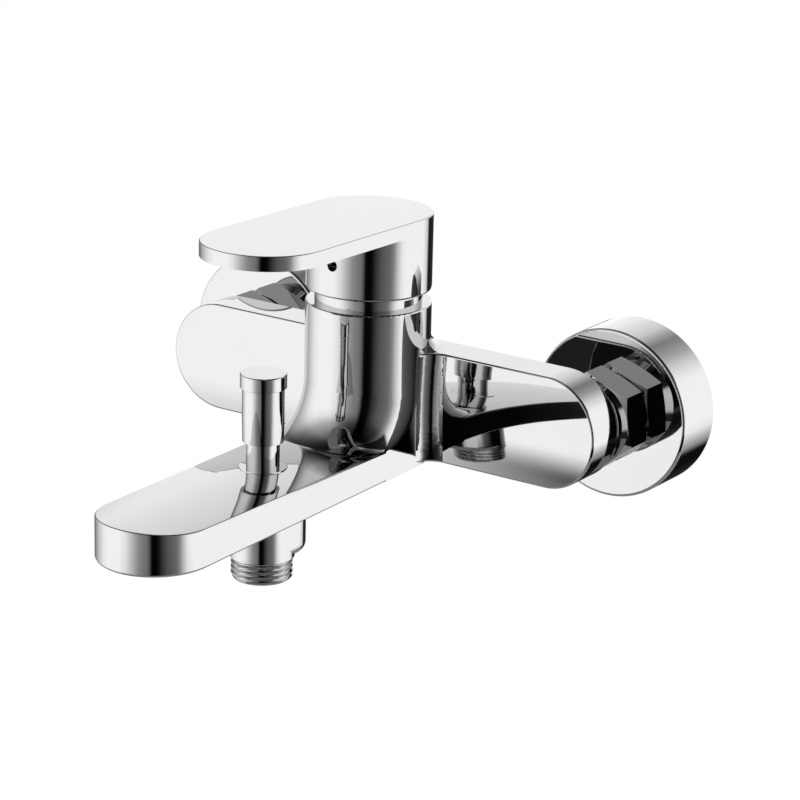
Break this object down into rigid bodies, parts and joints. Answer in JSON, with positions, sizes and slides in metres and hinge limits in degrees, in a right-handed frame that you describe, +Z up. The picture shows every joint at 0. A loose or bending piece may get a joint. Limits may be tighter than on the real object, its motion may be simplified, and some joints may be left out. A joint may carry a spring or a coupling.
{
  "type": "wall mounted bath faucet",
  "caption": "Exposed wall mounted single lever bath faucet with a flat fixed spout, a pull-up diverter knob and a threaded shower outlet below it.",
  "frame": {"origin": "midpoint between the two inlet axes, on the wall plane", "axes": "+X along the wall to the right as seen from the room, +Y into the wall, -Y out over the bath, +Z up"},
  "size_m": [0.2094, 0.2152, 0.1163],
  "materials": {
    "chrome": "polished chrome plate on brass",
    "brass": "machined brass",
    "steel": "stainless steel",
    "rubber": "black rubber",
    "plastic": "moulded plastic",
    "ceramic": "lapped alumina ceramic",
    "black_steel": "black oxide steel"
  },
  "bodies": {
    "faucet": {"body": "chrome", "trim_ring": "chrome", "diverter_bonnet": "chrome", "shower_outlet_nipple": "chrome", "aerator_shell": "chrome", "cartridge_base": "plastic", "cartridge_housing": "plastic", "aerator_insert": "plastic", "base_seals": "rubber", "diverter_rod_seals": "rubber", "shower_outlet_o_ring": "rubber", "aerator_gasket": "rubber", "fixed_ceramic_disc": "ceramic", "retaining_nut": "brass", "diverter_spring": "steel", "aerator_sieve": "steel", "left_wall_union": "chrome", "left_escutcheon": "chrome", "left_union_nut": "chrome", "left_inlet_tail": "chrome", "left_wall_gasket": "rubber", "left_union_washer": "rubber", "left_strainer": "steel", "left_check_valve_cage": "plastic", "right_wall_union": "chrome", "right_escutcheon": "chrome", "right_union_nut": "chrome", "right_inlet_tail": "chrome", "right_wall_gasket": "rubber", "right_union_washer": "rubber", "right_strainer": "steel", "right_check_valve_cage": "plastic"},
    "swivel": {"stem_guide": "plastic", "stem_guide_o_ring": "rubber", "stem_pivot_pin": "steel"},
    "lever": {"lever_handle": "chrome", "lever_grub_screw": "black_steel", "cartridge_stem": "brass"},
    "disc": {"disc_carrier": "plastic", "moving_ceramic_disc": "ceramic"},
    "diverter": {"diverter_knob": "chrome", "diverter_rod": "steel", "diverter_plunger": "brass", "lower_valve_washer": "rubber", "upper_valve_washer": "rubber", "diverter_rod_screw": "steel"},
    "left_poppet": {"left_check_valve_poppet": "plastic"},
    "right_poppet": {"right_check_valve_poppet": "plastic"}
  },
  "joints": [
    {"name": "lever_turn", "type": "hinge", "parent": "faucet", "child": "swivel", "pos_m": [0, -0.0575, 0.036], "axis": [0, 0, 1], "range_deg": [-50, 50]},
    {"name": "lever_lift", "type": "hinge", "parent": "swivel", "child": "lever", "pos_m": [0, -0.0575, 0.036], "axis": [-1, 0, 0], "range_deg": [0, 24]},
    {"name": "disc_slide", "type": "slide", "parent": "swivel", "child": "disc", "axis": [0, -1, 0], "range_m": [0, 0.00495]},
    {"name": "diverter_pull", "type": "slide", "parent": "faucet", "child": "diverter", "axis": [0, 0, 1], "range_m": [0, 0.009], "stiffness_N_per_m": 60, "springref_m": -0.012, "deforming": ["diverter_spring"]},
    {"name": "left_check_valve_open", "type": "slide", "parent": "faucet", "child": "left_poppet", "axis": [0, -1, 0], "range_m": [0, 0.0025], "stiffness_N_per_m": 40, "springref_m": -0.003},
    {"name": "right_check_valve_open", "type": "slide", "parent": "faucet", "child": "right_poppet", "axis": [0, -1, 0], "range_m": [0, 0.0025], "stiffness_N_per_m": 40, "springref_m": -0.003}
  ],
  "couplings": [
    {"joint": "disc_slide", "follows": "lever_lift", "m_per_rad": 0.01175}
  ]
}
